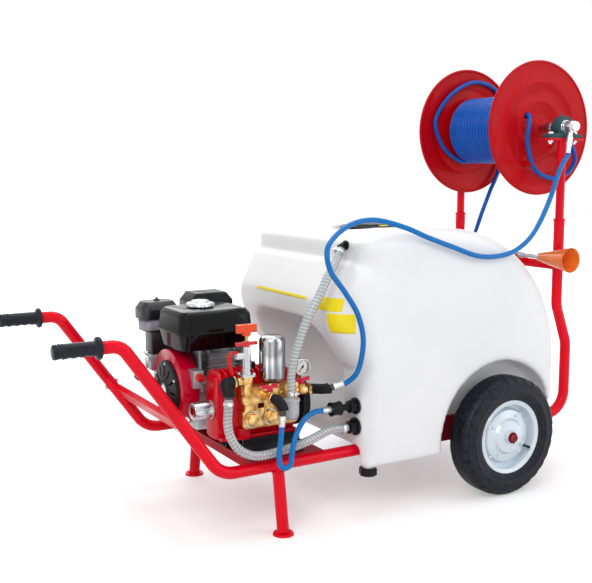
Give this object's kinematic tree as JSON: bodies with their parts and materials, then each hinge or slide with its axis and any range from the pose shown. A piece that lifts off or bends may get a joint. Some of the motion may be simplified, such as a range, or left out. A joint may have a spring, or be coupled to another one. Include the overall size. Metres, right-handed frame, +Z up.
{
  "type": "wheeled sprayer cart",
  "caption": "Two-wheeled barrow-framed sprayer cart: tank, engine-driven plunger pump, hose reel on posts and hand lance.",
  "frame": {"origin": "on the ground, in the middle of the cart's length and width", "axes": "+X from the handles to the hose reel, +Y to the side away from the pump, +Z up"},
  "size_m": [1.9, 0.8, 1.352],
  "materials": {
    "frame_red": "red stove enamel",
    "gloss_red": "glossy red enamel",
    "axle_paint": "dark red enamel",
    "grip_rubber": "black moulded rubber",
    "zinc_steel": "zinc plated",
    "tyre_rubber": "black tyre rubber",
    "rim_paint": "pale silver-blue enamel",
    "tank_plastic": "rotationally moulded, satin",
    "black_plastic": "moulded, satin",
    "basket_plastic": "moulded",
    "block_iron": "dark green enamel on a casting",
    "bare_steel": "turned and plated",
    "navy_hose": "royal blue hose skin",
    "blue_hose": "mid blue hose skin",
    "clear_hose": "clear ribbed vinyl",
    "black_paint": "black enamel",
    "engine_alloy": "die cast",
    "cap_steel": "bright plated",
    "red_plastic": "red moulding",
    "orange_plastic": "orange-red moulding",
    "brass": "machined and cast",
    "chrome": "plated",
    "gauge_case": "black case under a clear pane",
    "needle_black": "black",
    "belt_rubber": "black belt"
  },
  "bodies": {
    "cart": {"side_tube_left": "frame_red", "side_tube_right": "frame_red", "cross_members": "frame_red", "engine_plate": "frame_red", "engine_base": "black_paint", "legs": "frame_red", "handles": "frame_red", "grips": "grip_rubber", "fasteners": "zinc_steel", "axle": "axle_paint", "tank": "tank_plastic", "strainer_basket": "basket_plastic", "tank_fittings": "black_plastic", "reel_posts": "frame_red", "pillow_blocks": "block_iron", "swivel": "bare_steel", "spray_gun": "black_plastic", "engine_block": "engine_alloy", "fan_housing": "gloss_red", "recoil_starter": "black_plastic", "fuel_tank": "black_paint", "air_cleaner": "black_plastic", "muffler_guard": "black_paint", "pump_crankcase": "gloss_red", "pump_manifold": "brass", "drive_belt": "belt_rubber", "air_chamber": "chrome", "pressure_regulator": "chrome", "pressure_gauge": "gauge_case", "hose_fittings": "black_plastic", "pressure_hose": "blue_hose", "suction_hose": "clear_hose", "return_hose": "clear_hose", "agitator_hose": "blue_hose", "gun_hose": "navy_hose"},
    "wheel_left": {"tyre_left": "tyre_rubber", "rim_left": "rim_paint"},
    "wheel_right": {"tyre_right": "tyre_rubber", "rim_right": "rim_paint"},
    "reel": {"reel_shaft": "bare_steel", "reel_discs": "frame_red", "reel_drum": "frame_red", "hose_winding": "navy_hose", "reel_inner_hose": "navy_hose"},
    "knob": {"crank_knob": "grip_rubber"},
    "lid": {"tank_lid": "black_plastic"},
    "drain": {"drain_cap": "black_plastic"},
    "pull_grip": {"starter_grip": "grip_rubber"},
    "fuel_lid": {"fuel_cap": "cap_steel"},
    "choke": {"choke_lever": "zinc_steel"},
    "throttle": {"throttle_lever": "zinc_steel"},
    "switch": {"engine_switch": "red_plastic"},
    "crankshaft": {"engine_shaft": "bare_steel"},
    "pump_crank": {"pump_shaft": "bare_steel"},
    "pressure_knob": {"regulator_knob": "orange_plastic"},
    "bypass_lever": {"regulator_lever": "red_plastic"},
    "needle": {"gauge_needle": "needle_black"},
    "agitator_tap": {"agitator_cock": "red_plastic"},
    "outlet_tap": {"outlet_cock": "red_plastic"},
    "trigger": {"gun_trigger": "black_plastic"}
  },
  "joints": [
    {"name": "wheel_left_spin", "type": "hinge", "parent": "cart", "child": "wheel_left", "pos_m": [0.42, 0.342, 0.185], "axis": [0, 1, 0], "continuous": true},
    {"name": "wheel_right_spin", "type": "hinge", "parent": "cart", "child": "wheel_right", "pos_m": [0.42, -0.342, 0.185], "axis": [0, 1, 0], "continuous": true},
    {"name": "reel_spin", "type": "hinge", "parent": "cart", "child": "reel", "pos_m": [0.73, 0, 1.132], "axis": [0, 1, 0], "continuous": true, "deforming": ["gun_hose"]},
    {"name": "crank_knob_spin", "type": "hinge", "parent": "reel", "child": "knob", "pos_m": [0.88, 0.345, 1.132], "axis": [0, 1, 0], "continuous": true},
    {"name": "lid_lift", "type": "slide", "parent": "cart", "child": "lid", "axis": [0, 0, 1], "range_m": [0, 0.12]},
    {"name": "drain_cap_turn", "type": "hinge", "parent": "cart", "child": "drain", "pos_m": [-0.062, -0.312, 0.14], "axis": [0, 0, 1], "range_deg": [0, 360]},
    {"name": "starter_pull", "type": "slide", "parent": "cart", "child": "pull_grip", "axis": [-0.8294, 0.0999, 0.5496], "range_m": [0, 0.5], "stiffness_N_per_m": 60},
    {"name": "fuel_cap_turn", "type": "hinge", "parent": "cart", "child": "fuel_lid", "pos_m": [-0.462, -0.048, 0.622], "axis": [0, 0, 1], "range_deg": [0, 90]},
    {"name": "choke_lever_turn", "type": "hinge", "parent": "cart", "child": "choke", "pos_m": [-0.549, 0.14, 0.438], "axis": [1, 0, 0], "range_deg": [0, 40]},
    {"name": "throttle_lever_turn", "type": "hinge", "parent": "cart", "child": "throttle", "pos_m": [-0.549, 0.162, 0.414], "axis": [1, 0, 0], "range_deg": [-35, 10]},
    {"name": "engine_switch_turn", "type": "hinge", "parent": "cart", "child": "switch", "pos_m": [-0.498, -0.119, 0.424], "axis": [0, 1, 0], "range_deg": [0, 60]},
    {"name": "engine_shaft_spin", "type": "hinge", "parent": "cart", "child": "crankshaft", "pos_m": [-0.3, 0.015, 0.368], "axis": [1, 0, 0], "continuous": true},
    {"name": "pump_shaft_spin", "type": "hinge", "parent": "cart", "child": "pump_crank", "pos_m": [-0.3, -0.168, 0.345], "axis": [1, 0, 0], "continuous": true},
    {"name": "regulator_knob_turn", "type": "hinge", "parent": "cart", "child": "pressure_knob", "pos_m": [-0.417, -0.245, 0.566], "axis": [0, 0, 1], "range_deg": [-360, 360]},
    {"name": "regulator_lever_lift", "type": "hinge", "parent": "cart", "child": "bypass_lever", "pos_m": [-0.441, -0.245, 0.502], "axis": [0, 1, 0], "range_deg": [0, 50]},
    {"name": "gauge_needle_sweep", "type": "hinge", "parent": "cart", "child": "needle", "pos_m": [-0.241, -0.2455, 0.45], "axis": [0, 1, 0], "range_deg": [0, 270]},
    {"name": "agitator_cock_turn", "type": "hinge", "parent": "cart", "child": "agitator_tap", "pos_m": [-0.368, -0.286, 0.41], "axis": [0, 0, 1], "range_deg": [0, 90]},
    {"name": "outlet_cock_turn", "type": "hinge", "parent": "cart", "child": "outlet_tap", "pos_m": [-0.247, -0.25, 0.41], "axis": [0, 0, 1], "range_deg": [0, 90]},
    {"name": "gun_trigger_squeeze", "type": "hinge", "parent": "cart", "child": "trigger", "pos_m": [0.684, 0.234, 0.687], "axis": [1, 0, 0], "range_deg": [0, 20], "stiffness_Nm_per_rad": 1.5, "springref_deg": -11.46}
  ],
  "couplings": [
    {"joint": "pump_shaft_spin", "follows": "engine_shaft_spin", "ratio": 0.5}
  ]
}
